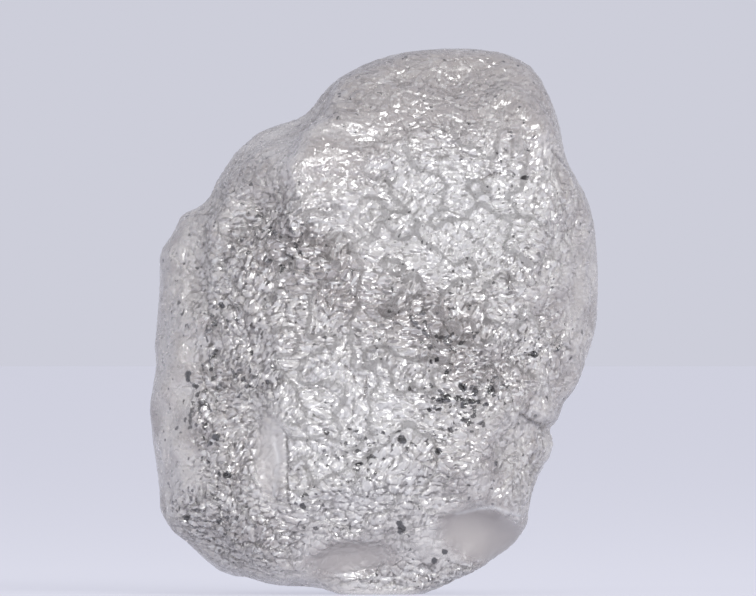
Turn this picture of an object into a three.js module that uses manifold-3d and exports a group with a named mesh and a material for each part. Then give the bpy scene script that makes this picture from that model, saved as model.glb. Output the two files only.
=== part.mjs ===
// Rough diamond: one natural stone that stands on a small flat spot at its foot.
// Millimetres, +Z up. The etched front looks along -Y, and +X is to the right as one faces it.
// The origin is under the middle of the stone, on the surface that it stands on.

import * as THREE from 'three';
import { ImprovedNoise } from 'three/addons/math/ImprovedNoise.js';
import { mergeVertices } from 'three/addons/utils/BufferGeometryUtils.js';
import Module from 'manifold-3d';

// Driving dimensions
const FRONT_BULGE = 3.15;
const BACK_BULGE = 2.85;
const SQUARENESS = 2.3;
const GIRDLE_WANDER = 0.42;
const MIDDLE = { x: 0.05, z: 4.6 };

// Fineness of the surface
const SPHERE_DETAIL = 20;
const RIM_SAMPLES = 1200;
const RIM_STEPS = 720;
const SMOOTHING_STEPS = 60;
const RIM_INFLUENCE = [0.72, 1.0];
const FACE_BLEND = 0.22;
const RIM_GUARD = 0.3;

// The outline from the front, clockwise from the top, as [x, z]. It goes on a little below the foot.
const OUTLINE = [
  [0.05, 9.22], [0.43, 9.31], [0.95, 9.38], [1.72, 9.38], [2.16, 9.32], [2.59, 9.15],
  [2.74, 9.04], [2.93, 8.70], [3.16, 8.06], [3.24, 7.70], [3.36, 7.39], [3.67, 6.78],
  [3.79, 6.06], [3.83, 5.34], [3.78, 4.63], [3.62, 4.08], [3.43, 3.53], [3.24, 3.28],
  [3.12, 2.96], [2.92, 2.84], [3.07, 2.62], [3.03, 2.41], [2.69, 1.77], [2.57, 1.15],
  [2.38, 0.85], [1.90, 0.51], [1.47, 0.32], [1.07, 0.11], [0.83, 0.03], [0.60, -0.14],
  [0.10, -0.30], [-0.38, -0.16], [-0.62, 0.01], [-0.86, 0.10], [-1.34, 0.15], [-1.84, 0.20],
  [-2.10, 0.28], [-2.60, 0.37], [-2.88, 0.58], [-3.24, 0.92], [-3.47, 1.09], [-3.66, 1.41],
  [-3.69, 1.84], [-3.83, 2.82], [-3.84, 3.20], [-3.76, 3.87], [-3.78, 4.30], [-3.70, 5.39],
  [-3.69, 5.92], [-3.50, 6.18], [-3.31, 6.53], [-3.07, 6.63], [-2.88, 6.78], [-2.74, 7.13],
  [-2.48, 7.56], [-2.02, 7.94], [-1.36, 8.16], [-1.21, 8.24], [-1.07, 8.42], [-0.76, 8.77],
  [-0.28, 9.09],
];

// Rounded crystal faces: the way each one looks, and its distance from the middle of the stone
const FACES = [
  { name: 'upper front', normal: [0.2, -1, 0.26], distance: 2.68 },
  { name: 'lower front', normal: [-0.08, -1, 0.02], distance: 2.6 },
  { name: 'left front', normal: [-0.62, -0.78, 0.06], distance: 2.92 },
  { name: 'right front', normal: [0.74, -0.64, -0.04], distance: 3.12 },
  { name: 'crown front', normal: [0.1, -0.62, 0.78], distance: 4.05 },
  { name: 'foot front', normal: [0.1, -0.72, -0.66], distance: 3.72 },
  { name: 'cleavage back', normal: [0.1, 1, -0.06], distance: 2.3 },
  { name: 'upper back', normal: [-0.2, 0.78, 0.6], distance: 3.2 },
  { name: 'lower back', normal: [0.16, 0.8, -0.5], distance: 2.85 },
  { name: 'left back', normal: [-0.8, 0.6, 0.05], distance: 3.0 },
  { name: 'right back', normal: [0.78, 0.62, 0.12], distance: 3.15 },
];

// Ledges: the surface drops to a lower terrace on the side that `toward` points to
const LEDGES = [
  { name: 'upper left', side: -1, at: [-1.3, 7.6], toward: [-1, 0.25], drop: 0.24, riser: 0.5, reach: 2.1 },
  { name: 'left', side: -1, at: [-2.85, 6.3], toward: [-1, 0.2], drop: 0.22, riser: 0.4, reach: 1.6 },
  { name: 'right lobe', side: -1, at: [2.7, 2.75], toward: [0.45, -1], drop: 0.24, riser: 0.16, reach: 0.9 },
  { name: 'upper front', side: -1, at: [0.6, 8.0], toward: [-0.1, 1], drop: 0.12, riser: 0.4, reach: 1.9 },
  { name: 'cleavage one', side: 1, at: [0.9, 5.2], toward: [0.94, 0.34], drop: 0.2, riser: 0.16, reach: 3.4 },
  { name: 'cleavage two', side: 1, at: [-1.3, 3.6], toward: [-0.9, -0.42], drop: 0.16, riser: 0.16, reach: 3.0 },
];

const LEDGE_WOBBLE = { spacing: 1.1, width: 0.9 };

// Shell-shaped chips and shallow dishes: middle [x, z], half width and half height, and depth
const DISHES = [
  { name: 'chip by the foot', side: -1, at: [1.9, 1.02], half: [0.82, 0.46], turn: -0.28, depth: 0.3 },
  { name: 'dish over the foot', side: -1, at: [-0.45, 0.62], half: [0.8, 0.34], turn: 0.12, depth: 0.14 },
  { name: 'pane', side: -1, at: [-1.8, 2.45], half: [0.34, 0.78], turn: 0, depth: 0.07 },
  { name: 'upper hollow', side: -1, at: [-0.75, 6.2], half: [0.75, 0.5], turn: 0.5, depth: 0.14 },
  { name: 'right hollow', side: -1, at: [2.2, 3.95], half: [0.7, 0.42], turn: 0.35, depth: 0.12 },
  { name: 'back chip', side: 1, at: [-1.5, 7.1], half: [0.9, 0.6], turn: 0.5, depth: 0.26 },
  { name: 'back hollow', side: 1, at: [1.5, 2.2], half: [0.85, 0.65], turn: -0.4, depth: 0.2 },
];

// Etched hummocks: how far apart they are and how high they stand
const HUMMOCKS = [
  { spacing: 1.35, height: 0.15, seed: 3.7 },
  { spacing: 0.62, height: 0.1, seed: 11.3 },
];
const RIM_HUMMOCK_SHARE = 0.22;

// The flat spot at the foot is where this block takes the stone's lowest point off
const FOOT_BLOCK = { width: 12, height: 4 };

const STONE_COLOUR = '#b8b5ba';
const STONE_ROUGHNESS = 0.32;

const { lerp, smoothstep } = THREE.MathUtils;

// Distance from the middle to the outline, at even steps round the stone
function measureRim() {
  const points = OUTLINE.map(([x, z]) => new THREE.Vector3(x - MIDDLE.x, 0, z - MIDDLE.z));
  const curve = new THREE.CatmullRomCurve3(points, true, 'centripetal');
  const samples = curve.getPoints(RIM_SAMPLES)
    .map((point) => ({ angle: Math.atan2(point.z, point.x), radius: point.length() }))
    .sort((a, b) => a.angle - b.angle);
  const radii = [];
  let next = 0;
  for (let step = 0; step < RIM_STEPS; step += 1) {
    const angle = (step / RIM_STEPS) * 2 * Math.PI - Math.PI;
    while (next < samples.length && samples[next].angle < angle) next += 1;
    radii.push(samples[next % samples.length].radius);
  }
  return radii;
}

// The same distances with the bays and corners averaged out
function smoothRim(radii) {
  return radii.map((_, step) => {
    let sum = 0;
    for (let near = -SMOOTHING_STEPS; near <= SMOOTHING_STEPS; near += 1) {
      sum += radii[(step + near + RIM_STEPS) % RIM_STEPS];
    }
    return sum / (2 * SMOOTHING_STEPS + 1);
  });
}

function radiusAt(radii, angle) {
  const place = ((angle + Math.PI) / (2 * Math.PI)) * RIM_STEPS;
  const step = Math.floor(place);
  return lerp(radii[step % RIM_STEPS], radii[(step + 1) % RIM_STEPS], place - step);
}

// Zero below -blend, the excess itself above +blend, and a smooth turn between them
function softExcess(excess, blend) {
  if (excess <= -blend) return 0;
  if (excess >= blend) return excess;
  return (excess + blend) ** 2 / (4 * blend);
}

// Carries a point of the unit sphere to the rounded body inside the outline
function bodyPoint(direction, sharp, smooth) {
  const angle = Math.atan2(direction.z, direction.x);
  const across = Math.hypot(direction.x, direction.z) ** (2 / SQUARENESS);
  const depth = Math.abs(direction.y) ** (2 / SQUARENESS);
  const nearRim = smoothstep(across, ...RIM_INFLUENCE);
  const radius = across * lerp(radiusAt(smooth, angle), radiusAt(sharp, angle), nearRim);
  const bulge = direction.y < 0 ? -FRONT_BULGE : BACK_BULGE;
  const wander = GIRDLE_WANDER * (1 - depth) * (Math.sin(2 * angle + 0.6) + 0.5 * Math.sin(5 * angle));
  return new THREE.Vector3(
    MIDDLE.x + radius * Math.cos(angle),
    bulge * depth + wander,
    MIDDLE.z + radius * Math.sin(angle),
  );
}

// Flattens the body onto its crystal faces, and leaves the outline as it is
function flattenFaces(point, awayFromRim) {
  const middle = new THREE.Vector3(MIDDLE.x, 0, MIDDLE.z);
  for (const face of FACES) {
    const normal = new THREE.Vector3(...face.normal).normalize();
    const excess = point.clone().sub(middle).dot(normal) - face.distance;
    point.addScaledVector(normal, -awayFromRim * softExcess(excess, FACE_BLEND));
  }
}

function onSide(point, side) {
  return smoothstep(point.y * side, 0, RIM_GUARD * FRONT_BULGE);
}

const noise = new ImprovedNoise();

// How far the terraces lie below the faces. Their edges wander as a broken crystal's do
function ledgeDepth(point) {
  const { spacing, width } = LEDGE_WOBBLE;
  const wobble = width * noise.noise(point.x / spacing, 0.5, point.z / spacing);
  return LEDGES.reduce((sum, ledge) => {
    const away = new THREE.Vector2(point.x - ledge.at[0], point.z - ledge.at[1]);
    const toward = new THREE.Vector2(...ledge.toward).normalize();
    const below = smoothstep(away.dot(toward) + wobble, -ledge.riser / 2, ledge.riser / 2);
    const fade = 1 - smoothstep(away.length(), ledge.reach / 2, ledge.reach);
    return sum + ledge.drop * below * fade * onSide(point, ledge.side);
  }, 0);
}

// How deep the chips and dishes are, and how far a point lies inside one of them, from 0 to 1
function dishDepth(point) {
  let depth = 0;
  let inside = 0;
  for (const dish of DISHES) {
    const away = new THREE.Vector2(point.x - dish.at[0], point.z - dish.at[1])
      .rotateAround(new THREE.Vector2(), -dish.turn);
    const hollow = Math.max(0, 1 - Math.hypot(away.x / dish.half[0], away.y / dish.half[1]) ** 2);
    depth += dish.depth * hollow * onSide(point, dish.side);
    inside = Math.max(inside, Math.sqrt(hollow) * onSide(point, dish.side));
  }
  return { depth, inside };
}

// Height of the etched hummocks: rounded tops with narrow gaps between them
function hummockHeight(point) {
  return HUMMOCKS.reduce((sum, { spacing, height, seed }) => {
    const value = noise.noise(point.x / spacing + seed, point.y / spacing, point.z / spacing);
    return sum + height * (0.5 - 1.6 * Math.abs(value));
  }, 0);
}

function stoneSurface() {
  const sphere = new THREE.IcosahedronGeometry(1, SPHERE_DETAIL);
  sphere.deleteAttribute('normal');
  sphere.deleteAttribute('uv');
  const surface = mergeVertices(sphere);
  const places = surface.attributes.position;
  const sharp = measureRim();
  const smooth = smoothRim(sharp);
  const freedom = [];
  for (let index = 0; index < places.count; index += 1) {
    const direction = new THREE.Vector3().fromBufferAttribute(places, index);
    const awayFromRim = smoothstep(Math.abs(direction.y), 0, RIM_GUARD);
    const point = bodyPoint(direction, sharp, smooth);
    flattenFaces(point, awayFromRim);
    places.setXYZ(index, point.x, point.y, point.z);
    freedom.push(awayFromRim);
  }
  surface.computeVertexNormals();
  const normals = surface.attributes.normal;
  for (let index = 0; index < places.count; index += 1) {
    const point = new THREE.Vector3().fromBufferAttribute(places, index);
    const normal = new THREE.Vector3().fromBufferAttribute(normals, index);
    const dish = dishDepth(point);
    const rough = lerp(RIM_HUMMOCK_SHARE, 1, freedom[index]) * (1 - dish.inside);
    const rise = rough * hummockHeight(point) - ledgeDepth(point) - dish.depth;
    point.addScaledVector(normal, rise);
    places.setXYZ(index, point.x, point.y, point.z);
  }
  surface.deleteAttribute('normal');
  return surface;
}

const wasm = await Module();
wasm.setup();

function toSolid(geometry) {
  const bare = geometry.clone();
  bare.deleteAttribute('normal');
  bare.deleteAttribute('uv');
  const merged = mergeVertices(bare);
  return new wasm.Manifold(new wasm.Mesh({
    numProp: 3,
    vertProperties: new Float32Array(merged.attributes.position.array),
    triVerts: new Uint32Array(merged.index.array),
  }));
}

function toGeometry(solid) {
  const mesh = solid.getMesh();
  const geometry = new THREE.BufferGeometry();
  geometry.setAttribute('position', new THREE.BufferAttribute(mesh.vertProperties, 3));
  geometry.setIndex(new THREE.BufferAttribute(mesh.triVerts, 1));
  geometry.computeVertexNormals();
  return geometry;
}

// The stone, cut flat at its foot and set with the middle of its width and depth over the origin
function makeStone() {
  const block = new THREE.BoxGeometry(FOOT_BLOCK.width, FOOT_BLOCK.width, FOOT_BLOCK.height);
  block.translate(0, 0, -FOOT_BLOCK.height / 2);
  const stone = toGeometry(toSolid(stoneSurface()).subtract(toSolid(block)));
  stone.computeBoundingBox();
  const centre = stone.boundingBox.getCenter(new THREE.Vector3());
  stone.translate(-centre.x, -centre.y, 0);
  return stone;
}

const material = new THREE.MeshStandardMaterial({
  color: STONE_COLOUR,
  roughness: STONE_ROUGHNESS,
  metalness: 0,
});

const stone = new THREE.Mesh(makeStone(), material);
stone.name = 'rough_diamond';

const group = new THREE.Group();
group.add(stone);

export default group;
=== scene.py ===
import logging
import math
from dataclasses import dataclass, field
from enum import Enum
from typing import Sequence

import bpy
import numpy as np
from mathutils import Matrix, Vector


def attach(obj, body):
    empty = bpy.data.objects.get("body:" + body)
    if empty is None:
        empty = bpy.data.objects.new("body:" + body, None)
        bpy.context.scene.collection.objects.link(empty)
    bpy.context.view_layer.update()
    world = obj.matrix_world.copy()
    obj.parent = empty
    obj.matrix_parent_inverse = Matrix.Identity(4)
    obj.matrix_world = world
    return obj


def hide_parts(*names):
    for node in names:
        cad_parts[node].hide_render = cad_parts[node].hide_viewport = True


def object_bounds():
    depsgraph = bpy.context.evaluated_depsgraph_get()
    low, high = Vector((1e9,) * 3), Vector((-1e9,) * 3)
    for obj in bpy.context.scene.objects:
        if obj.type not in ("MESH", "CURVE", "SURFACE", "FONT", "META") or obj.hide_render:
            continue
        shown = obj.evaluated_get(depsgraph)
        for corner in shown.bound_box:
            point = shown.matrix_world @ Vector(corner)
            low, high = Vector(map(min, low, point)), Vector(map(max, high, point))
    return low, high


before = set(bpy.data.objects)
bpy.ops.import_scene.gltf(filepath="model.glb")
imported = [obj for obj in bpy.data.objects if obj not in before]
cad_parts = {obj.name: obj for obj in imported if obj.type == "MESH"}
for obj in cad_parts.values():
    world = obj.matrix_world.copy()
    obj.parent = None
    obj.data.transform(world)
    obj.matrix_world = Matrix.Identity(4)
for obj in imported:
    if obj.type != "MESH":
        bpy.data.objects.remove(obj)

# The stone is modelled in millimetres and brought back to metres at the end
MM = 0.001
CAD_BOX = [list(corner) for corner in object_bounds()]

# A number of radii that is outside any speck
FAR = 9.0

# The middle of a noise's colour
MID_GREY = (0.5, 0.5, 0.5)

log = logging.getLogger("rough_diamond")


class Side(Enum):
    """The side of the stone that a mark lies on, as the sign of Y."""

    FRONT = -1
    BACK = 1
    BOTH = 0


class Mark(Enum):
    """The vertex attributes that carry the stone's patches and patterns to its material."""

    RELIEF = "relief"
    CLEAR = "clear"
    # Paler milky patches placed where the front lights' broad highlight falls: painted highlight
    SPECKLE = "speckle"
    # Darker warm grey patches: painted shade on the faces turned from the lights
    CLOUD = "cloud_and_highlight"
    SMOKE = "shade_and_smoke"
    SPECK = "speck"
    # Grooves, darkened with painted shade
    CRACK = "crack"
    # Edges painted pale: painted highlight
    PALE = "pale"
    PLATE = "plate"
    STEP = "step"
    # The darker warm grey: painted shade in patches, with a random mottle
    TONE = "tone"
    CROWD = "crowd"
    SPREAD = "spread"


@dataclass(frozen=True)
class Patch:
    """A soft-edged ellipse on one side of the stone, in millimetres, as seen from the front."""

    centre: tuple[float, float]
    half: tuple[float, float]
    turn: float = 0.0
    weight: float = 1.0
    edge: float = 0.45
    side: Side = Side.FRONT

    def cover(self, places: np.ndarray) -> np.ndarray:
        """How much of the patch lies at each point.

        Args:
            places: Points in millimetres, one to a row.

        Returns:
            The patch's weight inside it, 0 outside, and a soft edge between.
        """
        x = places[:, 0] - self.centre[0]
        z = places[:, 2] - self.centre[1]
        along = x * math.cos(self.turn) + z * math.sin(self.turn)
        across = z * math.cos(self.turn) - x * math.sin(self.turn)
        reach = np.hypot(along / self.half[0], across / self.half[1])
        cover = self.weight * smooth_fall(reach, 1 - self.edge, 1 + self.edge)
        return cover * on_side(places, self.side)


@dataclass(frozen=True)
class Speck:
    """A dark speck near the surface, in millimetres, as seen from the front."""

    place: tuple[float, float]
    radius: float
    stretch: float = 1.0
    turn: float = 0.0
    side: Side = Side.FRONT

    def gap(self, places: np.ndarray) -> np.ndarray:
        """Distance from the speck's middle, in its own radii.

        Args:
            places: Points in millimetres, one to a row.

        Returns:
            1 on the speck's edge, and more outside and on the other side of the stone.
        """
        x = places[:, 0] - self.place[0]
        z = places[:, 2] - self.place[1]
        along = (x * math.cos(self.turn) + z * math.sin(self.turn)) / self.stretch
        across = z * math.cos(self.turn) - x * math.sin(self.turn)
        off_side = FAR * (1 - on_side(places, self.side))
        return np.hypot(along, across) / self.radius + off_side


@dataclass(frozen=True)
class Crack:
    """A crack, in millimetres, as seen from the front: a groove darkened with painted shade, or an
    edge painted pale as a painted highlight.
    """

    points: tuple[tuple[float, float], ...]
    width: float = 0.045
    # True for a pale edge, which is a painted highlight
    pale: bool = False
    side: Side = Side.FRONT

    def cover(self, places: np.ndarray) -> np.ndarray:
        """How much of the crack lies at each point, from 0 to 1."""
        gap = distance_to_line(places, self.points)
        return smooth_fall(gap, 0.0, self.width) * on_side(places, self.side)


def smooth_fall(value: np.ndarray, full: float, none: float) -> np.ndarray:
    """A smooth fall from 1 to 0.

    Args:
        value: The numbers to read it at.
        full: Up to here it is 1.
        none: From here on it is 0.

    Returns:
        One number for each value.
    """
    share = np.clip((none - value) / (none - full), 0, 1)
    return share * share * (3 - 2 * share)


def on_side(places: np.ndarray, side: Side, blend: float = 0.5) -> np.ndarray:
    """How far each point belongs to a side of the stone.

    Args:
        places: Points in millimetres, one to a row.
        side: The side asked for.
        blend: The half width of the change-over at the rim.

    Returns:
        1 on the side, 0 on the other one.
    """
    if side is Side.BOTH:
        return np.ones(len(places))
    return smooth_fall(-places[:, 1] * side.value, -blend, blend)


def distance_to_line(places: np.ndarray, points: Sequence[tuple[float, float]]) -> np.ndarray:
    """Distance from each point to a bent line, as seen from the front.

    Args:
        places: Points in millimetres, one to a row.
        points: The line's corners, as x and z.

    Returns:
        One distance in millimetres for each point.
    """
    seen = places[:, [0, 2]]
    nearest = np.full(len(places), np.inf)
    for start, end in zip(points, points[1:]):
        start, end = np.array(start), np.array(end)
        run = end - start
        share = np.clip((seen - start) @ run / (run @ run), 0, 1)
        gap = np.linalg.norm(seen - start - share[:, None] * run, axis=1)
        nearest = np.minimum(nearest, gap)
    return nearest


@dataclass(frozen=True)
class Grain:
    """A noise: how many waves fit in a millimetre, how many finer layers, and how distorted."""

    scale: float
    detail: float = 2.0
    twist: float = 0.0


class Nodes:
    """Short ways to add the nodes that shader and geometry node trees share."""

    def __init__(self, tree: bpy.types.NodeTree) -> None:
        """Keeps the tree that the nodes go in."""
        self.tree = tree

    def add(self, kind: str, **settings: object) -> bpy.types.Node:
        """Adds a node.

        Args:
            kind: The node's type name.
            settings: Properties to set on it.

        Returns:
            The new node.
        """
        node = self.tree.nodes.new(kind)
        for name, value in settings.items():
            setattr(node, name, value)
        return node

    def feed(self, socket: bpy.types.NodeSocket, value: object) -> None:
        """Links a socket to another one, or sets its value.

        Args:
            socket: The input.
            value: An output to link it to, or a plain value.
        """
        if isinstance(value, bpy.types.NodeSocket):
            self.tree.links.new(value, socket)
        else:
            socket.default_value = value

    def math(self, operation: str, *values: object, clamp: bool = False) -> bpy.types.NodeSocket:
        """A Math node.

        Args:
            operation: Its operation's name.
            values: Sockets or numbers for its inputs.
            clamp: Whether the result stays between 0 and 1.

        Returns:
            Its output.
        """
        node = self.add("ShaderNodeMath", operation=operation, use_clamp=clamp)
        for socket, value in zip(node.inputs, values):
            self.feed(socket, value)
        return node.outputs[0]

    def vector(self, operation: str, *values: object) -> bpy.types.NodeSocket:
        """A Vector Math node.

        Args:
            operation: Its operation's name.
            values: Sockets or triples for its inputs.

        Returns:
            Its vector output.
        """
        node = self.add("ShaderNodeVectorMath", operation=operation)
        for socket, value in zip(node.inputs, values):
            self.feed(socket, value)
        return node.outputs[0]

    def scaled(self, vector: bpy.types.NodeSocket, factor: object) -> bpy.types.NodeSocket:
        """A vector times one number.

        Args:
            vector: The vector.
            factor: A number or a socket.

        Returns:
            The longer or shorter vector.
        """
        node = self.add("ShaderNodeVectorMath", operation="SCALE")
        self.feed(node.inputs[0], vector)
        self.feed(node.inputs["Scale"], factor)
        return node.outputs[0]

    def ramp(
        self, value: object, low: float, high: float, to_low: float = 0.0, to_high: float = 1.0
    ) -> bpy.types.NodeSocket:
        """A smooth, clamped Map Range.

        Args:
            value: What is mapped.
            low: The value that gives to_low.
            high: The value that gives to_high.
            to_low: The result at low.
            to_high: The result at high.

        Returns:
            The mapped value.
        """
        node = self.add("ShaderNodeMapRange", interpolation_type="SMOOTHSTEP")
        for index, number in enumerate((value, low, high, to_low, to_high)):
            self.feed(node.inputs[index], number)
        return node.outputs[0]

    def noise(self, place: bpy.types.NodeSocket, grain: Grain) -> bpy.types.Node:
        """A Noise Texture.

        Args:
            place: Where it is read.
            grain: Its settings.

        Returns:
            The node, for its value or colour output.
        """
        node = self.add("ShaderNodeTexNoise")
        self.feed(node.inputs["Vector"], place)
        node.inputs["Scale"].default_value = grain.scale
        node.inputs["Detail"].default_value = grain.detail
        node.inputs["Distortion"].default_value = grain.twist
        return node

    def cells(self, place: bpy.types.NodeSocket, scale: float) -> bpy.types.NodeSocket:
        """A Voronoi Texture's distance from the edges of its cells.

        Args:
            place: Where it is read.
            scale: How many cells fit in one unit.

        Returns:
            The distance, in cells.
        """
        node = self.add("ShaderNodeTexVoronoi", feature="DISTANCE_TO_EDGE")
        self.feed(node.inputs["Vector"], place)
        node.inputs["Scale"].default_value = scale
        return node.outputs["Distance"]

    def warped(
        self, place: bpy.types.NodeSocket, grain: Grain, reach: float
    ) -> bpy.types.NodeSocket:
        """A place pushed about by noise.

        Args:
            place: The place to push.
            grain: The noise's settings.
            reach: How far it pushes at most, each way.

        Returns:
            The pushed place.
        """
        colour = self.noise(place, grain).outputs["Color"]
        centred = self.vector("SUBTRACT", colour, MID_GREY)
        return self.vector("ADD", place, self.scaled(centred, 2 * reach))

    def mix(self, kind: str, share: object, first: object, second: object) -> bpy.types.NodeSocket:
        """A Mix node.

        Args:
            kind: RGBA, VECTOR or FLOAT.
            share: How much of the second value there is.
            first: The first value, plain or a socket.
            second: The second value, plain or a socket.

        Returns:
            The mixed value.
        """
        node = self.add("ShaderNodeMix", data_type=kind)
        used = [socket for socket in node.inputs if socket.enabled]
        for socket, value in zip(used, (share, first, second)):
            if socket.type == "RGBA" and isinstance(value, tuple):
                value = (*value, 1.0)
            self.feed(socket, value)
        return next(socket for socket in node.outputs if socket.enabled)

    def rotated(self, place: bpy.types.NodeSocket, angle: float) -> bpy.types.NodeSocket:
        """A place turned about the Y axis.

        Args:
            place: The place to turn.
            angle: The angle, in radians.

        Returns:
            The turned place.
        """
        node = self.add("ShaderNodeVectorRotate", rotation_type="Y_AXIS")
        self.feed(node.inputs["Vector"], place)
        node.inputs["Angle"].default_value = angle
        return node.outputs[0]

    def mark(self, mark: Mark, output: str = "Fac") -> bpy.types.NodeSocket:
        """Reads one of the stone's vertex marks.

        Args:
            mark: The mark.
            output: Which output of a material's Attribute node is read.

        Returns:
            The mark's socket.
        """
        if self.tree.type == "SHADER":
            return self.add("ShaderNodeAttribute", attribute_name=mark.value).outputs[output]
        node = self.add("GeometryNodeInputNamedAttribute", data_type="FLOAT")
        node.inputs["Name"].default_value = mark.value
        return node.outputs[0]


@dataclass(frozen=True)
class Etching:
    """The larger forms of the etching at a place.

    The plate is the distance from its plate's edge, in plates. The step is the number of
    terraces up to there.
    """

    plate: bpy.types.NodeSocket
    step: bpy.types.NodeSocket


@dataclass(frozen=True)
class Skin:
    """The skin at a place: its height in millimetres, its gaps painted dark as painted shade, and
    its crests painted white as painted highlight.
    """

    height: bpy.types.NodeSocket
    gap: bpy.types.NodeSocket
    crest_highlight: bpy.types.NodeSocket


@dataclass
class EtchedSurface:
    """Raises the etched plates and terraces on the stone's mesh, in millimetres.

    It also leaves what the material needs of them on the vertices.
    """

    swirl: Grain = Grain(0.8)
    swirl_reach: float = 0.45
    plate_stretch: tuple[float, float, float] = (1.0, 1.0, 1.7)
    plates_per_mm: float = 3.7
    plate_height: float = 0.04
    plate_bevel: float = 0.18
    plate_heights: tuple[float, float] = (-0.7, 0.3)
    hills: Grain = Grain(1.0, 2.0, 0.6)
    terraces: float = 12.0
    terrace_height: float = 0.026
    terrace_riser: float = 0.3
    crack_depth: float = 0.05
    mottle: Grain = Grain(1.7, 4.0, 0.3)
    mottle_smoke: tuple[float, float] = (0.42, 0.8)
    mottle_clear: tuple[float, float] = (0.25, 0.6)
    least_smoke: float = 0.6
    crowds: Grain = Grain(2.6, 3.0)
    crowd_edge: tuple[float, float] = (0.38, 0.62)
    ragged: Grain = Grain(4.0)
    ragged_reach: float = 0.09
    facet_stretch: tuple[float, float, float] = (1.0, 1.0, 2.4)
    slant: float = 1.05
    slanted_areas: Grain = Grain(1.3, 1.0)
    slanted_edge: tuple[float, float] = (0.49, 0.52)

    def apply(self, stone: bpy.types.Object) -> None:
        """Displaces the stone along its normals with a Geometry Nodes modifier, and applies it.

        Args:
            stone: The stone, in millimetres, with its patches on its vertices.
        """
        tree = bpy.data.node_groups.new("etched_surface", "GeometryNodeTree")
        tree.interface.new_socket("Geometry", in_out="INPUT", socket_type="NodeSocketGeometry")
        tree.interface.new_socket("Geometry", in_out="OUTPUT", socket_type="NodeSocketGeometry")
        nodes = Nodes(tree)
        shape = nodes.add("NodeGroupInput").outputs[0]
        place = nodes.add("GeometryNodeInputPosition").outputs[0]
        etching = self.etching(nodes, place)
        shape = self.store(nodes, shape, Mark.PLATE, etching.plate)
        shape = self.store(nodes, shape, Mark.STEP, etching.step)
        shape = self.store(nodes, shape, Mark.TONE, self.tone(nodes, place))
        shape = self.store(nodes, shape, Mark.CROWD, self.crowd(nodes, place))
        shape = self.store(nodes, shape, Mark.SPREAD, self.spread(nodes, place), "FLOAT_VECTOR")
        outward = nodes.add("GeometryNodeInputNormal").outputs[0]
        shift = nodes.add("GeometryNodeSetPosition")
        nodes.feed(shift.inputs["Geometry"], shape)
        nodes.feed(shift.inputs["Offset"], nodes.scaled(outward, self.height(nodes, etching)))
        nodes.feed(nodes.add("NodeGroupOutput").inputs[0], shift.outputs[0])
        modifier = stone.modifiers.new("etched_surface", "NODES")
        modifier.node_group = tree
        bpy.ops.object.modifier_apply(modifier=modifier.name)

    def store(
        self,
        nodes: Nodes,
        shape: bpy.types.NodeSocket,
        mark: Mark,
        value: bpy.types.NodeSocket,
        kind: str = "FLOAT",
    ) -> bpy.types.NodeSocket:
        """Stores a value on the vertices.

        Args:
            nodes: The tree's nodes.
            shape: The geometry so far.
            mark: The attribute's name.
            value: What is stored.
            kind: The attribute's data type.

        Returns:
            The geometry with the attribute.
        """
        node = nodes.add("GeometryNodeStoreNamedAttribute", data_type=kind, domain="POINT")
        nodes.feed(node.inputs["Geometry"], shape)
        node.inputs["Name"].default_value = mark.value
        nodes.feed(next(s for s in node.inputs if s.name == "Value" and s.enabled), value)
        return node.outputs[0]

    def etching(self, nodes: Nodes, place: bpy.types.NodeSocket) -> Etching:
        """The pattern of plates and terraces.

        Args:
            nodes: The tree's nodes.
            place: The place in millimetres.

        Returns:
            The pattern's sockets.
        """
        swirled = nodes.warped(place, self.swirl, self.swirl_reach)
        level = nodes.vector("MULTIPLY", swirled, self.plate_stretch)
        hills = nodes.noise(level, self.hills).outputs[0]
        steps = nodes.math("MULTIPLY", hills, self.terraces)
        return Etching(nodes.cells(level, self.plates_per_mm), steps)

    def height(self, nodes: Nodes, etching: Etching) -> bpy.types.NodeSocket:
        """How far the skin stands out, less on smooth patches, and less in the cracks.

        Args:
            nodes: The tree's nodes.
            etching: The pattern's sockets.

        Returns:
            The height in millimetres.
        """
        plates = nodes.ramp(etching.plate, 0.0, self.plate_bevel, *self.plate_heights)
        tread = nodes.math("FRACT", etching.step)
        terraces = nodes.math("SUBTRACT", nodes.ramp(tread, 0.0, self.terrace_riser), tread)
        height = nodes.math(
            "ADD",
            nodes.math("MULTIPLY", plates, self.plate_height),
            nodes.math("MULTIPLY", terraces, self.terrace_height),
        )
        clear = nodes.math("SUBTRACT", 1.0, nodes.mark(Mark.CLEAR))
        share = nodes.math("MULTIPLY", nodes.mark(Mark.RELIEF), clear)
        groove = nodes.math("MULTIPLY", nodes.mark(Mark.CRACK), self.crack_depth)
        return nodes.math("SUBTRACT", nodes.math("MULTIPLY", height, share), groove)

    def tone(self, nodes: Nodes, place: bpy.types.NodeSocket) -> bpy.types.NodeSocket:
        """How much darker warm grey the body takes: patches of painted shade on the faces turned
        from the lights, with a random mottle of tone.

        Args:
            nodes: The tree's nodes.
            place: The place in millimetres.

        Returns:
            1 where it is the darker grey alone, 0 where it is clear.
        """
        mottle = nodes.noise(place, self.mottle).outputs[0]
        # Painted shade from the patches, plus a random mottle of tone
        shade_and_smoke = nodes.math("ADD", nodes.mark(Mark.SMOKE), nodes.ramp(mottle, *self.mottle_smoke))
        kept = nodes.ramp(mottle, *self.mottle_clear, self.least_smoke, 1.0)
        return nodes.math("MULTIPLY", shade_and_smoke, kept, clamp=True)

    def crowd(self, nodes: Nodes, place: bpy.types.NodeSocket) -> bpy.types.NodeSocket:
        """How closely the small dark specks crowd together."""
        crowd = nodes.ramp(nodes.noise(place, self.crowds).outputs[0], *self.crowd_edge)
        return nodes.math("MULTIPLY", nodes.mark(Mark.SPECKLE), crowd)

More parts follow.
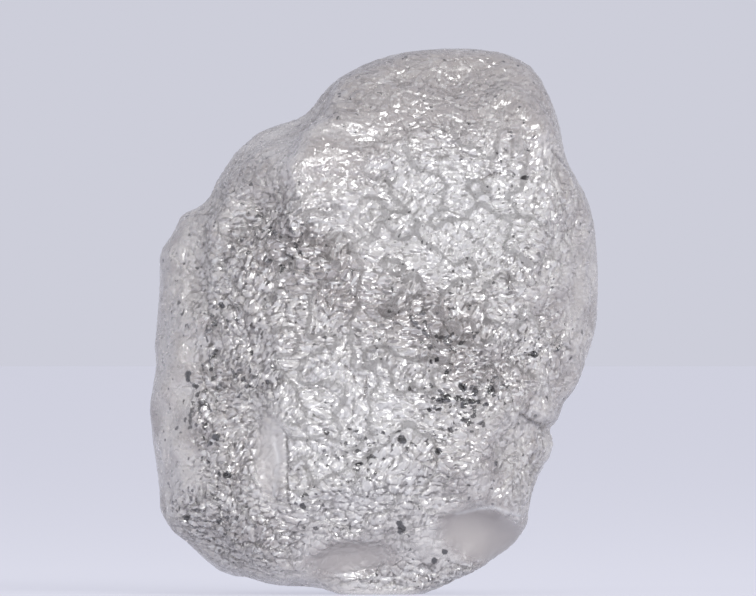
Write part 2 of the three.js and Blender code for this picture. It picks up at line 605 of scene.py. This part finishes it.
    def spread(self, nodes: Nodes, place: bpy.types.NodeSocket) -> bpy.types.NodeSocket:
        """The place where the facets' pattern is read: level in some areas, slanted in others.

        Args:
            nodes: The tree's nodes.
            place: The place in millimetres.

        Returns:
            The place, stretched so that the facets come out long and low.
        """
        ragged = nodes.warped(place, self.ragged, self.ragged_reach)
        turned = nodes.rotated(ragged, self.slant)
        level = nodes.vector("MULTIPLY", ragged, self.facet_stretch)
        slanted = nodes.vector("MULTIPLY", turned, self.facet_stretch)
        areas = nodes.noise(place, self.slanted_areas).outputs[0]
        return nodes.mix("VECTOR", nodes.ramp(areas, *self.slanted_edge), level, slanted)


@dataclass(frozen=True)
class CrystalFinish:
    """Cloudy, see-through diamond with a skin of tiny slanted facets and dark specks inside."""

    body: tuple[float, float, float] = (0.90, 0.868, 0.85)
    # Paler milky colour of the patches where the front lights' highlight falls: painted highlight
    cloud_and_highlight: tuple[float, float, float] = (1.0, 0.985, 0.98)
    # Darker warm grey: painted shade on the faces turned from the lights, also mottled at random
    shade_and_smoke: tuple[float, float, float] = (0.53, 0.487, 0.475)
    # Dark colour of the gaps and lines: painted shade in the grooves
    gap: tuple[float, float, float] = (0.2, 0.18, 0.18)
    # White of the crests and gleaming facets: painted highlight
    crest_highlight: tuple[float, float, float] = (1.0, 0.99, 0.99)
    graphite: tuple[float, float, float] = (0.01, 0.008, 0.01)
    transmission: float = 0.5
    ior: float = 2.417
    roughness: tuple[float, float] = (0.12, 0.3)
    clear_roughness: float = 0.6
    speck_roughness: float = 0.15
    bump_strength: float = 0.65
    facets_per_mm: float = 10.0
    facet_slope: float = 1.3
    facets_with_lines: tuple[float, float] = (0.35, 0.55)
    painted_shade_facets: tuple[float, float] = (0.3, 0.05)
    gleaming_facets: tuple[float, float] = (0.83, 0.96)
    plate_rise: float = 0.03
    plate_bevel: float = 0.12
    plate_line: tuple[float, float] = (0.03, 0.08)
    plate_crest: float = 0.14
    crest_fall: tuple[float, float] = (0.01, 0.05)
    crest_share: float = 0.7
    terrace_line: float = 0.1
    terrace_line_share: float = 0.6
    gap_share: float = 0.95
    cloud_and_highlight_gap_share: float = 0.55
    speck_grain: Grain = Grain(9.0, 1.0)
    crowding: float = 0.2
    pepper_edge: tuple[float, float] = (0.69, 0.75)
    pepper_share: float = 0.85
    speck_raggedness: float = 1.1
    speck_edge: tuple[float, float] = (1.75, 1.4)
    absorption: tuple[float, float, float] = (0.93, 0.885, 0.86)
    absorption_density: float = 100.0

    def make(self) -> bpy.types.Material:
        """Builds the material.

        Returns:
            The finished material, whose patterns follow the stone's own places and marks.
        """
        material = bpy.data.materials.new("rough_diamond_crystal")
        material.use_nodes = True
        nodes = Nodes(material.node_tree)
        shader = material.node_tree.nodes["Principled BSDF"]
        output = material.node_tree.nodes["Material Output"]
        clear = nodes.mark(Mark.CLEAR)
        etched = nodes.math("SUBTRACT", 1.0, clear, clamp=True)
        etched = nodes.math("MULTIPLY", etched, nodes.mark(Mark.RELIEF))
        skin = self.skin(nodes)
        specks = self.specks(nodes, clear)
        nodes.feed(shader.inputs["Base Color"], self.colour(nodes, skin, etched, specks))
        frost = nodes.ramp(skin.gap, 0.0, 1.0, *self.roughness)
        frost = nodes.mix("FLOAT", clear, frost, self.clear_roughness)
        frost = nodes.mix("FLOAT", specks, frost, self.speck_roughness)
        nodes.feed(shader.inputs["Roughness"], frost)
        bump = nodes.add("ShaderNodeBump")
        bump.inputs["Distance"].default_value = MM
        nodes.feed(bump.inputs["Strength"], nodes.math("MULTIPLY", etched, self.bump_strength))
        nodes.feed(bump.inputs["Height"], skin.height)
        nodes.feed(shader.inputs["Normal"], bump.outputs[0])
        shader.inputs["Transmission Weight"].default_value = self.transmission
        shader.inputs["IOR"].default_value = self.ior
        volume = nodes.add("ShaderNodeVolumeAbsorption")
        volume.inputs["Color"].default_value = (*self.absorption, 1.0)
        volume.inputs["Density"].default_value = self.absorption_density
        nodes.feed(output.inputs["Volume"], volume.outputs[0])
        return material

    def skin(self, nodes: Nodes) -> Skin:
        """The small facets, and the edges of the plates and terraces broken up by them.

        Each facet has its own slant; some are painted dark as painted shade, and some painted
        white as painted glints.

        Args:
            nodes: The material's nodes.

        Returns:
            The skin's sockets.
        """
        spread = nodes.mark(Mark.SPREAD, "Vector")
        cell = nodes.add("ShaderNodeTexVoronoi", feature="F1")
        nodes.feed(cell.inputs["Vector"], spread)
        cell.inputs["Scale"].default_value = self.facets_per_mm
        slant = nodes.vector("SUBTRACT", cell.outputs["Color"], MID_GREY)
        away = nodes.vector("SUBTRACT", spread, cell.outputs["Position"])
        rise = nodes.add("ShaderNodeVectorMath", operation="DOT_PRODUCT")
        nodes.feed(rise.inputs[0], slant)
        nodes.feed(rise.inputs[1], away)
        height = nodes.math("MULTIPLY", rise.outputs["Value"], self.facet_slope)
        chance = nodes.add("ShaderNodeSeparateXYZ")
        nodes.feed(chance.inputs[0], cell.outputs["Color"])
        broken = nodes.ramp(chance.outputs[0], *self.facets_with_lines)
        plate = nodes.mark(Mark.PLATE)
        rims = nodes.ramp(plate, 0.0, self.plate_bevel)
        rims = nodes.math("MULTIPLY", rims, self.plate_rise)
        gap = nodes.math("MULTIPLY", self.lines(nodes, plate), broken)
        # Some facets are painted dark: painted shade
        gap = nodes.math("MAXIMUM", gap, nodes.ramp(chance.outputs[1], *self.painted_shade_facets))
        from_crest = nodes.math("ABSOLUTE", nodes.math("SUBTRACT", plate, self.plate_crest))
        # Crests of the plates, painted white: painted highlight
        crest_highlight = nodes.ramp(from_crest, *self.crest_fall, self.crest_share, 0.0)
        crest_highlight = nodes.math("MULTIPLY", crest_highlight, broken)
        # Random facets painted white: painted glints
        gleam = nodes.ramp(chance.outputs[1], *self.gleaming_facets)
        crest_highlight = nodes.math("MAXIMUM", crest_highlight, gleam)
        return Skin(nodes.math("ADD", height, rims), gap, crest_highlight)

    def lines(self, nodes: Nodes, plate: bpy.types.NodeSocket) -> bpy.types.NodeSocket:
        """The dark lines along the edges of the plates and the terraces, which paint the shade in
        their grooves.

        Args:
            nodes: The material's nodes.
            plate: The distance from the plate's edge, in plates.

        Returns:
            How much painted shade a line holds.
        """
        tread = nodes.math("FRACT", nodes.mark(Mark.STEP))
        plates = nodes.ramp(plate, *self.plate_line, 1.0, 0.0)
        terraces = nodes.ramp(tread, 0.0, self.terrace_line, self.terrace_line_share, 0.0)
        return nodes.math("MAXIMUM", plates, terraces)

    def colour(
        self,
        nodes: Nodes,
        skin: Skin,
        etched: bpy.types.NodeSocket,
        specks: bpy.types.NodeSocket,
    ) -> bpy.types.NodeSocket:
        """The body's colour: paler milky patches that paint the front lights' highlight, darker
        warm grey that paints shade on faces turned from the lights, painted shade in the gaps and
        cracks, painted highlight on crests and lit edges, and black specks.

        Args:
            nodes: The tree's nodes.
            skin: The skin's sockets.
            etched: How strongly the skin is etched there.
            specks: 1 in a dark speck, 0 outside.

        Returns:
            The colour socket.
        """
        # The paler patches paint the front lights' broad highlight, and carry fewer dark lines
        cloud_and_highlight = nodes.mark(Mark.CLOUD)
        # Darker warm grey where the painted shade lies
        tone = nodes.mix("RGBA", nodes.mark(Mark.TONE), self.body, self.shade_and_smoke)
        tone = nodes.mix("RGBA", cloud_and_highlight, tone, self.cloud_and_highlight)
        share = nodes.ramp(cloud_and_highlight, 0.0, 1.0, self.gap_share, self.cloud_and_highlight_gap_share)
        # Painted shade in the gaps, the lines and the cracks
        lines = nodes.math("MULTIPLY", nodes.math("MULTIPLY", skin.gap, etched), share)
        lines = nodes.math("MAXIMUM", lines, nodes.mark(Mark.CRACK))
        tone = nodes.mix("RGBA", lines, tone, self.gap)
        # Painted highlight on the crests, the gleaming facets and the lit edges
        crest_highlight = nodes.math("MULTIPLY", skin.crest_highlight, etched)
        crest_highlight = nodes.math("MAXIMUM", crest_highlight, nodes.mark(Mark.PALE))
        tone = nodes.mix("RGBA", crest_highlight, tone, self.crest_highlight)
        return nodes.mix("RGBA", specks, tone, self.graphite)

    def specks(self, nodes: Nodes, clear: bpy.types.NodeSocket) -> bpy.types.NodeSocket:
        """The dark specks: a few placed ones, and ragged crowds of small ones.

        Args:
            nodes: The tree's nodes.
            clear: 1 in a smooth patch, which has no crowds, 0 outside.

        Returns:
            1 in a speck, 0 outside.
        """
        place = nodes.scaled(nodes.add("ShaderNodeTexCoord").outputs["Object"], 1 / MM)
        ragged = nodes.noise(place, self.speck_grain).outputs[0]
        crowd = nodes.math("MULTIPLY", nodes.mark(Mark.CROWD), self.crowding)
        crowd = nodes.math("SUBTRACT", crowd, nodes.math("MULTIPLY", clear, self.crowding))
        crowded = nodes.math("ADD", ragged, crowd)
        pepper = nodes.ramp(crowded, *self.pepper_edge, 0.0, self.pepper_share)
        edge = nodes.math("MULTIPLY", ragged, self.speck_raggedness)
        reach = nodes.math("ADD", nodes.mark(Mark.SPECK), edge)
        placed = nodes.ramp(reach, *self.speck_edge)
        return nodes.math("MAXIMUM", placed, pepper)


@dataclass
class RoughDiamond:
    """The stone itself, with its etched skin, over the CAD solid of its form."""

    node: str = "rough_diamond"
    body: str = "root"
    slot: str = "diamond"
    weld_metres: float = 1e-6
    voxel: float = 0.036
    smoothing_rounds: int = 10
    smoothing_share: float = 0.5
    most_triangles: int = 198000
    foot_height: float = 0.12
    etch: EtchedSurface = field(default_factory=EtchedSurface)
    finish: CrystalFinish = field(default_factory=CrystalFinish)
    rim_relief: float = 0.2
    rough_patches: tuple[Patch, ...] = (
        Patch((1.4, 6.4), (2.0, 1.8)),
        Patch((-0.3, 3.0), (2.3, 2.2)),
        Patch((1.1, 4.3), (2.2, 1.5)),
        Patch((-1.5, 5.4), (1.6, 1.7)),
        Patch((-2.4, 3.3), (0.7, 2.2), weight=0.9, edge=0.3),
        Patch((-2.35, 1.15), (1.2, 0.7), turn=-0.3, edge=0.4),
        Patch((0.8, 0.3), (1.5, 0.3), weight=0.9),
        Patch((2.55, 2.3), (0.6, 0.9), weight=0.6),
        Patch((0.9, 8.3), (2.0, 0.9), weight=0.35),
        Patch((-2.1, 6.5), (1.0, 1.0), weight=0.55),
        Patch((0.1, 4.5), (2.8, 3.9), side=Side.BACK, weight=0.9),
    )
    clear_patches: tuple[Patch, ...] = (
        Patch((-1.76, 2.43), (0.27, 0.7), edge=0.5, weight=0.7),
        Patch((1.86, 1.05), (0.7, 0.4), turn=-0.28, edge=0.35, weight=0.95),
        Patch((-0.41, 0.64), (0.6, 0.24), turn=0.12, edge=0.8, weight=0.75),
    )
    # Paler milky patches placed where the front lights' broad highlight falls on the front:
    # painted highlight; two more lie on the back
    cloud_and_highlight_patches: tuple[Patch, ...] = (
        Patch((1.4, 6.53), (1.47, 1.12), edge=0.6),
        Patch((-0.41, 2.83), (1.3, 1.3), edge=0.6),
        Patch((0.9, 6.2), (1.3, 1.5), side=Side.BACK, weight=0.8, edge=0.6),
        Patch((-1.2, 2.6), (1.3, 1.2), side=Side.BACK, weight=0.7, edge=0.6),
    )
    # Darker warm grey patches: painted shade on the top, the flanks, the valley across the middle,
    # a ledge's reflection and the smooth panes
    shade_and_smoke_patches: tuple[Patch, ...] = (
        Patch((-2.9, 3.4), (1.0, 3.2), weight=0.3),
        Patch((-2.2, 6.6), (1.1, 1.1), weight=0.5),
        Patch((3.3, 5.2), (0.6, 2.4), weight=0.65),
        Patch((-0.45, 7.5), (0.8, 0.5), weight=1.0),
        Patch((1.2, 8.6), (2.4, 0.9), weight=1.2),
        Patch((0.4, 4.85), (3.2, 0.6), turn=-0.555, weight=1.0),
        Patch((2.3, 2.0), (0.9, 1.1), weight=0.5),
        Patch((1.86, 1.0), (0.78, 0.48), turn=-0.28, weight=1.3, edge=0.2),
        Patch((-0.41, 0.62), (0.8, 0.34), turn=0.12, weight=1.3, edge=0.4),
        Patch((-2.3, 0.9), (1.3, 0.5), turn=-0.3, weight=0.45),
        Patch((-1.76, 2.43), (0.3, 0.75), weight=1.3, edge=0.2),
    )
    speckle_patches: tuple[Patch, ...] = (
        Patch((1.5, 3.35), (0.75, 0.55)),
        Patch((1.0, 4.6), (0.8, 0.5), weight=0.9),
        Patch((-2.45, 3.85), (0.5, 0.45)),
        Patch((-2.9, 2.9), (0.5, 0.6), weight=0.9),
        Patch((-1.6, 5.9), (0.6, 0.65), weight=0.85),
        Patch((-2.8, 1.45), (0.6, 0.5), weight=0.9),
        Patch((-2.9, 4.8), (0.6, 0.4), weight=0.8),
        Patch((2.9, 4.2), (0.6, 0.3), weight=0.7),
        Patch((0.1, 2.4), (0.9, 0.6), weight=0.6),
        Patch((-0.9, 1.4), (0.8, 0.4), weight=0.7),
        Patch((2.4, 7.3), (0.35, 0.5), weight=0.6),
        Patch((-0.9, 4.6), (1.0, 1.4), weight=0.7, side=Side.BACK),
        Patch((1.2, 3.0), (1.0, 0.8), weight=0.6, side=Side.BACK),
    )
    specks: tuple[Speck, ...] = (
        Speck((0.48, 2.67), 0.075),
        Speck((0.16, 2.78), 0.045),
        Speck((1.22, 0.74), 0.055),
        Speck((1.03, 0.59), 0.05),
        Speck((0.48, 1.14), 0.06, 1.5, 1.2),
        Speck((0.43, 1.24), 0.05),
        Speck((-3.2, 3.78), 0.055, 2.0, 1.45),
        Speck((-3.07, 3.59), 0.045, 1.4, -0.6),
        Speck((-2.71, 2.71), 0.06, 1.3, 0.5),
        Speck((-2.52, 2.07), 0.065, 1.4, -0.4),
        Speck((-2.66, 2.09), 0.04),
        Speck((-1.22, 1.52), 0.05, 1.6, -1.2),
        Speck((-0.81, 2.79), 0.045),
        Speck((-0.26, 2.26), 0.04, 1.8, 0.2),
        Speck((-1.83, 3.66), 0.045),
        Speck((-1.59, 5.6), 0.05, 1.7, 1.5),
        Speck((-2.62, 4.98), 0.055),
        Speck((-2.1, 4.17), 0.045),
        Speck((-3.24, 1.31), 0.05),
        Speck((-2.67, 1.26), 0.045),
        Speck((2.59, 7.17), 0.04, 1.8, 0.1),
        Speck((2.29, 7.57), 0.04),
        Speck((1.52, 3.57), 0.06, 1.5, -0.9),
        Speck((1.25, 3.39), 0.07),
        Speck((1.13, 3.35), 0.05, 1.3),
        Speck((1.43, 3.38), 0.05),
        Speck((1.54, 3.29), 0.055, 1.5, 1.4),
        Speck((1.65, 3.33), 0.05, 1.4),
        Speck((1.72, 3.49), 0.05, 1.3, 1.2),
        Speck((1.79, 3.33), 0.045),
        Speck((1.92, 3.28), 0.04, 1.5),
        Speck((2.0, 3.53), 0.065, 1.3, -0.8),
        Speck((1.53, 3.02), 0.045, 1.4),
        Speck((0.95, 3.19), 0.045),
        Speck((1.1, 2.47), 0.06),
        Speck((1.08, 4.05), 0.045),
        Speck((0.98, 4.02), 0.04),
        Speck((1.25, 3.83), 0.04, 1.5, 0.9),
        Speck((2.76, 4.13), 0.055, 1.6, 0.3),
        Speck((3.16, 4.22), 0.04),
        Speck((2.09, 2.26), 0.045),
    )
    # Dark cracks are grooves whose darkness is painted shade; the pale ones paint a highlight on
    # lit edges and ledges
    cracks: tuple[Crack, ...] = (
        Crack(((-0.1, 3.78), (-0.17, 3.38)), width=0.07),
        Crack(((-0.5, 3.95), (-0.38, 3.83), (-0.28, 3.6))),
        Crack(((1.66, 3.86), (2.09, 3.95)), width=0.06),
        Crack(((1.76, 3.74), (1.92, 3.58))),
        Crack(((1.71, 3.76), (1.83, 3.6), (2.06, 3.43)), width=0.04, pale=True),
        Crack(((2.26, 4.07), (2.6, 4.12), (2.95, 4.21), (3.16, 4.38), (3.41, 4.21))),
        Crack(((-1.52, 2.71), (-1.49, 2.4), (-1.51, 2.05), (-1.48, 1.62))),
        Crack(((3.07, 7.66), (3.38, 7.31))),
        Crack(((2.91, 2.84), (2.52, 3.09))),
        Crack(((2.7, 2.05), (2.9, 2.36))),
        Crack(((2.8, 2.0), (2.98, 2.26))),
        Crack(((2.62, 2.2), (2.78, 2.44))),
        Crack(((-1.28, 3.6), (-0.5, 3.99)), width=0.05, pale=True),
        Crack(((-0.04, 3.8), (-0.1, 3.42)), width=0.05, pale=True),
        Crack(((-1.74, 2.71), (-1.64, 2.4), (-1.68, 2.05), (-1.72, 1.7)), width=0.05, pale=True),
        Crack(((2.2, 5.1), (2.32, 5.17), (2.46, 5.14)), width=0.12),
        Crack(((2.33, 5.5), (2.36, 5.2)), width=0.09),
        Crack(((2.55, 5.34), (2.5, 5.14)), width=0.06, pale=True),
        Crack(((-0.12, 7.33), (0.2, 7.37)), width=0.075, pale=True),
        Crack(((0.3, 7.22), (0.62, 7.12)), width=0.06, pale=True),
        Crack(((1.85, 7.15), (2.1, 7.25), (2.25, 7.24)), width=0.06),
        Crack(((-0.62, 0.33), (-0.25, 0.36)), width=0.05, pale=True),
        Crack(((-0.1, 0.3), (0.3, 0.27)), width=0.05, pale=True),
        Crack(((0.45, 0.33), (0.85, 0.4)), width=0.05, pale=True),
        Crack(((-0.35, 0.17), (0.1, 0.16)), width=0.05, pale=True),
        Crack(((0.3, 0.12), (0.7, 0.17)), width=0.05, pale=True),
        Crack(((1.4, 1.4), (2.0, 1.52), (2.5, 1.36)), width=0.05, pale=True),
    )

    def build(self) -> bpy.types.Object:
        """Models the stone, dresses it and puts it in the frame.

        Returns:
            The finished piece.
        """
        stone = self.copy_form()
        self.refine(stone)
        self.mark_patches(stone)
        self.etch.apply(stone)
        self.keep_foot_flat(stone)
        self.thin_out(stone)
        self.to_metres(stone)
        stone.data.materials.clear()
        stone.data.materials.append(self.finish.make())
        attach(stone, self.body)
        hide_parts(self.node)
        return stone

    def copy_form(self) -> bpy.types.Object:
        """Copies the CAD solid, merges the copy's loose triangles and brings it to millimetres.

        Returns:
            The copy.
        """
        bpy.ops.object.select_all(action="DESELECT")
        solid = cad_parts[self.node]
        solid.select_set(True)
        bpy.context.view_layer.objects.active = solid
        bpy.ops.object.duplicate()
        stone = bpy.context.view_layer.objects.active
        stone.name = "etched_stone"
        stone.parent = None
        bpy.ops.object.mode_set(mode="EDIT")
        bpy.ops.mesh.select_all(action="SELECT")
        bpy.ops.mesh.remove_doubles(threshold=self.weld_metres)
        bpy.ops.object.mode_set(mode="OBJECT")
        stone.scale = (1 / MM,) * 3
        bpy.ops.object.transform_apply(location=True, rotation=True, scale=True)
        return stone

    def refine(self, stone: bpy.types.Object) -> None:
        """Gives the form an even, fine mesh and melts the CAD facets' edges away.

        Args:
            stone: The copied form, in millimetres.
        """
        remesh = stone.modifiers.new("fine_mesh", "REMESH")
        remesh.mode = "VOXEL"
        remesh.voxel_size = self.voxel
        bpy.ops.object.modifier_apply(modifier=remesh.name)
        melt = stone.modifiers.new("melt_facets", "SMOOTH")
        melt.factor = self.smoothing_share
        melt.iterations = self.smoothing_rounds
        bpy.ops.object.modifier_apply(modifier=melt.name)

    def places(self, stone: bpy.types.Object) -> np.ndarray:
        """The stone's vertices.

        Args:
            stone: The stone.

        Returns:
            One vertex to a row.
        """
        flat = np.empty(len(stone.data.vertices) * 3)
        stone.data.vertices.foreach_get("co", flat)
        return flat.reshape(-1, 3)

    def mark_patches(self, stone: bpy.types.Object) -> None:
        """Writes the patches, specks, cracks and smooth places on the vertices.

        Args:
            stone: The refined stone, in millimetres.
        """
        places = self.places(stone)
        near_foot = smooth_fall(places[:, 2], 0.0, self.foot_height)
        rough = self.widest(places, self.rough_patches)
        relief = (self.rim_relief + (1 - self.rim_relief) * rough) * (1 - near_foot)
        # Dark cracks carry painted shade, pale ones a painted highlight
        grooves = [crack.cover(places) for crack in self.cracks if not crack.pale]
        gleams = [crack.cover(places) for crack in self.cracks if crack.pale]
        for mark, values in {
            Mark.RELIEF: relief,
            Mark.CLEAR: self.widest(places, self.clear_patches),
            Mark.SPECKLE: self.widest(places, self.speckle_patches),
            Mark.CLOUD: self.widest(places, self.cloud_and_highlight_patches),
            Mark.SMOKE: self.widest(places, self.shade_and_smoke_patches),
            Mark.SPECK: np.min([speck.gap(places) for speck in self.specks], axis=0),
            Mark.CRACK: np.max(grooves, axis=0),
            Mark.PALE: np.max(gleams, axis=0),
        }.items():
            layer = stone.data.attributes.new(mark.value, "FLOAT", "POINT")
            layer.data.foreach_set("value", values.astype(np.float32))

    def widest(self, places: np.ndarray, patches: Sequence[Patch]) -> np.ndarray:
        """The strongest of several patches at each point."""
        return np.max([patch.cover(places) for patch in patches], axis=0)

    def keep_foot_flat(self, stone: bpy.types.Object) -> None:
        """Brings what sank below the standing surface back up to it.

        Args:
            stone: The etched stone.
        """
        places = self.places(stone)
        places[:, 2] = np.maximum(places[:, 2], 0.0)
        stone.data.vertices.foreach_set("co", places.ravel())
        stone.data.update()

    def thin_out(self, stone: bpy.types.Object) -> None:
        """Takes triangles off the smoother parts until the mesh is light enough.

        Args:
            stone: The etched stone, whose faces all have four corners.
        """
        count = 2 * len(stone.data.polygons)
        if count <= self.most_triangles:
            return
        thin = stone.modifiers.new("thin_out", "DECIMATE")
        thin.ratio = self.most_triangles / count
        bpy.ops.object.modifier_apply(modifier=thin.name)

    def to_metres(self, stone: bpy.types.Object) -> None:
        """Brings the finished mesh back to metres and shades it smoothly.

        Args:
            stone: The finished stone, in millimetres.
        """
        stone.scale = (MM,) * 3
        bpy.ops.object.transform_apply(location=True, rotation=True, scale=True)
        bpy.ops.object.shade_smooth()


@dataclass
class Softbox:
    """A square, soft studio light that looks at the stone."""

    name: str
    direction: tuple[float, float, float]
    distance: float
    size: float
    radiance: float
    colour: tuple[float, float, float] = (1.0, 1.0, 1.0)

    def build(self, aim: Vector) -> bpy.types.Object:
        """Adds the light.

        Args:
            aim: The point that it looks at, in metres.

        Returns:
            The light's object.
        """
        light = bpy.data.lights.new(self.name, "AREA")
        light.shape = "SQUARE"
        light.size = self.size
        light.energy = self.radiance * math.pi * self.size**2
        light.color = self.colour
        lamp = bpy.data.objects.new(self.name, light)
        bpy.context.scene.collection.objects.link(lamp)
        away = Vector(self.direction).normalized()
        lamp.location = aim + away * self.distance
        lamp.rotation_euler = away.to_track_quat("Z", "Y").to_euler()
        return lamp


@dataclass
class Studio:
    """Plain pale surroundings: a floor, an even sky and soft lights."""

    backdrop: tuple[float, float, float] = (0.610, 0.617, 0.701)
    room: tuple[float, float, float] = (0.46, 0.46, 0.48)
    floor_colour: tuple[float, float, float] = (0.35, 0.35, 0.37)
    floor_glow: tuple[float, float, float] = (0.44, 0.445, 0.515)
    floor_roughness: float = 0.9
    floor_size: float = 3.0
    backdrop_edge: tuple[float, float] = (-0.5, 0.5)
    softboxes: tuple[Softbox, ...] = (
        Softbox("key_softbox", (0.42, -0.9, 0.22), 0.35, 0.16, 9.8),
        Softbox("front_softbox", (-0.16, -0.97, 0.12), 0.4, 0.12, 7.5),
        Softbox("right_lamp", (0.7, -0.6, 0.35), 0.35, 0.03, 32.0),
        Softbox("left_lamp", (-0.55, -0.75, 0.4), 0.35, 0.03, 32.0),
        Softbox("top_lamp", (0.05, -0.45, 0.9), 0.35, 0.03, 24.0),
    )

    def build(self, aim: Vector) -> None:
        """Adds the floor, the sky and the lights.

        Args:
            aim: The middle of the stone, in metres.
        """
        self.build_floor()
        self.build_sky()
        for softbox in self.softboxes:
            softbox.build(aim)

    def build_floor(self) -> None:
        """Adds a wide, flat, pale floor under the stone."""
        bpy.ops.object.select_all(action="DESELECT")
        bpy.ops.mesh.primitive_plane_add(size=self.floor_size, location=(0, 0, 0))
        floor = bpy.context.view_layer.objects.active
        floor.name = "studio_floor"
        material = bpy.data.materials.new("pale_floor")
        material.use_nodes = True
        shader = material.node_tree.nodes["Principled BSDF"]
        shader.inputs["Base Color"].default_value = (*self.floor_colour, 1.0)
        shader.inputs["Roughness"].default_value = self.floor_roughness
        shader.inputs["Specular IOR Level"].default_value = 0.0
        shader.inputs["Emission Color"].default_value = (*self.floor_glow, 1.0)
        shader.inputs["Emission Strength"].default_value = 1.0
        floor.data.materials.append(material)

    def build_sky(self) -> None:
        """Makes the pale sky that shows behind the stone, and the dimmer room in front of it."""
        world = bpy.data.worlds.new("studio_sky")
        bpy.context.scene.world = world
        world.use_nodes = True
        nodes = Nodes(world.node_tree)
        surface = world.node_tree.nodes["Background"]
        way = nodes.add("ShaderNodeTexCoord").outputs["Generated"]
        split = nodes.add("ShaderNodeSeparateXYZ")
        nodes.feed(split.inputs[0], way)
        behind = nodes.ramp(split.outputs["Y"], *self.backdrop_edge)
        seen = nodes.add("ShaderNodeLightPath").outputs["Is Camera Ray"]
        share = nodes.math("MAXIMUM", behind, seen)
        colour = nodes.mix("RGBA", share, self.room, self.backdrop)
        nodes.feed(surface.inputs["Color"], colour)


@dataclass
class PhotoCamera:
    """A level camera with a long lens in front of the stone, framed as the photograph is."""

    pixels_per_mm: float = 58.0
    image_width: float = 756.0
    image_height: float = 596.0
    origin_pixel: tuple[float, float] = (374.0, 594.0)
    distance: float = 0.45
    sensor: float = 36.0
    clip_ratio: float = 10.0

    def build(self) -> bpy.types.Object:
        """Adds the camera and makes it the scene's own.

        Returns:
            The camera's object.
        """
        data = bpy.data.cameras.new("photo_camera")
        camera = bpy.data.objects.new("photo_camera", data)
        bpy.context.scene.collection.objects.link(camera)
        field_width = self.image_width / self.pixels_per_mm * MM
        data.sensor_width = self.sensor
        data.lens = self.sensor * self.distance / field_width
        data.clip_start = self.distance / self.clip_ratio
        data.clip_end = self.distance * self.clip_ratio
        right = (self.image_width / 2 - self.origin_pixel[0]) / self.pixels_per_mm * MM
        up = (self.origin_pixel[1] - self.image_height / 2) / self.pixels_per_mm * MM
        camera.location = (right, -self.distance, up)
        camera.rotation_euler = (math.pi / 2, 0, 0)
        bpy.context.scene.camera = camera
        return camera


def set_colours() -> None:
    """Shows colours as they are, with no film look over them."""
    view = bpy.context.scene.view_settings
    view.view_transform = "Standard"
    view.look = "None"


def main() -> None:
    """Builds the camera, the stone and the studio in order."""
    logging.basicConfig(level=logging.INFO, format="%(name)s: %(message)s")
    PhotoCamera().build()
    log.info("camera set")
    stone = RoughDiamond().build()
    log.info("%s: %d triangles", stone.name, len(stone.data.polygons))
    low, high = (Vector(corner) for corner in CAD_BOX)
    Studio().build((low + high) / 2)
    log.info("studio set")
    set_colours()


if __name__ == "__main__":
    main()
